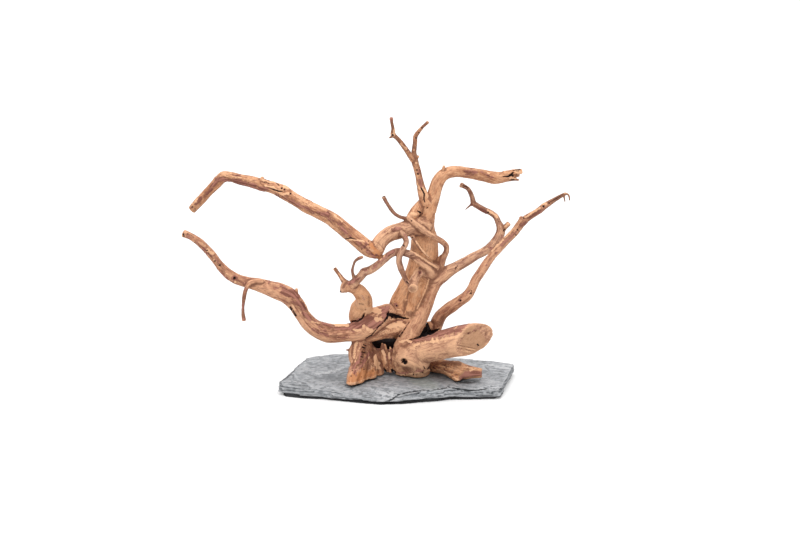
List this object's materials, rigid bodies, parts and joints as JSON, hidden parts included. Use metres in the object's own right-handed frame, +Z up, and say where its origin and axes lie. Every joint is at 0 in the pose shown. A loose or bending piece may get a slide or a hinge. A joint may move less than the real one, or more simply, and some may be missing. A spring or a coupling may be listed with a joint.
{
  "type": "spiderwood root on a slate base",
  "caption": "Branching spiderwood root with tapering limbs and a sawn log end, standing on a thin flat piece of slate.",
  "frame": {"origin": "The middle of the slate's flat underside, at the surface that the piece stands on.", "axes": "+Z is up, +X runs to the right along the longest reach of the limbs, and -Y faces the front."},
  "size_m": [0.3802, 0.1425, 0.2805],
  "materials": {
    "weathered_wood": "bare peeled root wood, matt, with patches of bark",
    "grey_slate": "split natural slate, matt"
  },
  "bodies": {
    "root": {"spiderwood_root": "weathered_wood", "slate_base": "grey_slate"}
  },
  "joints": []
}
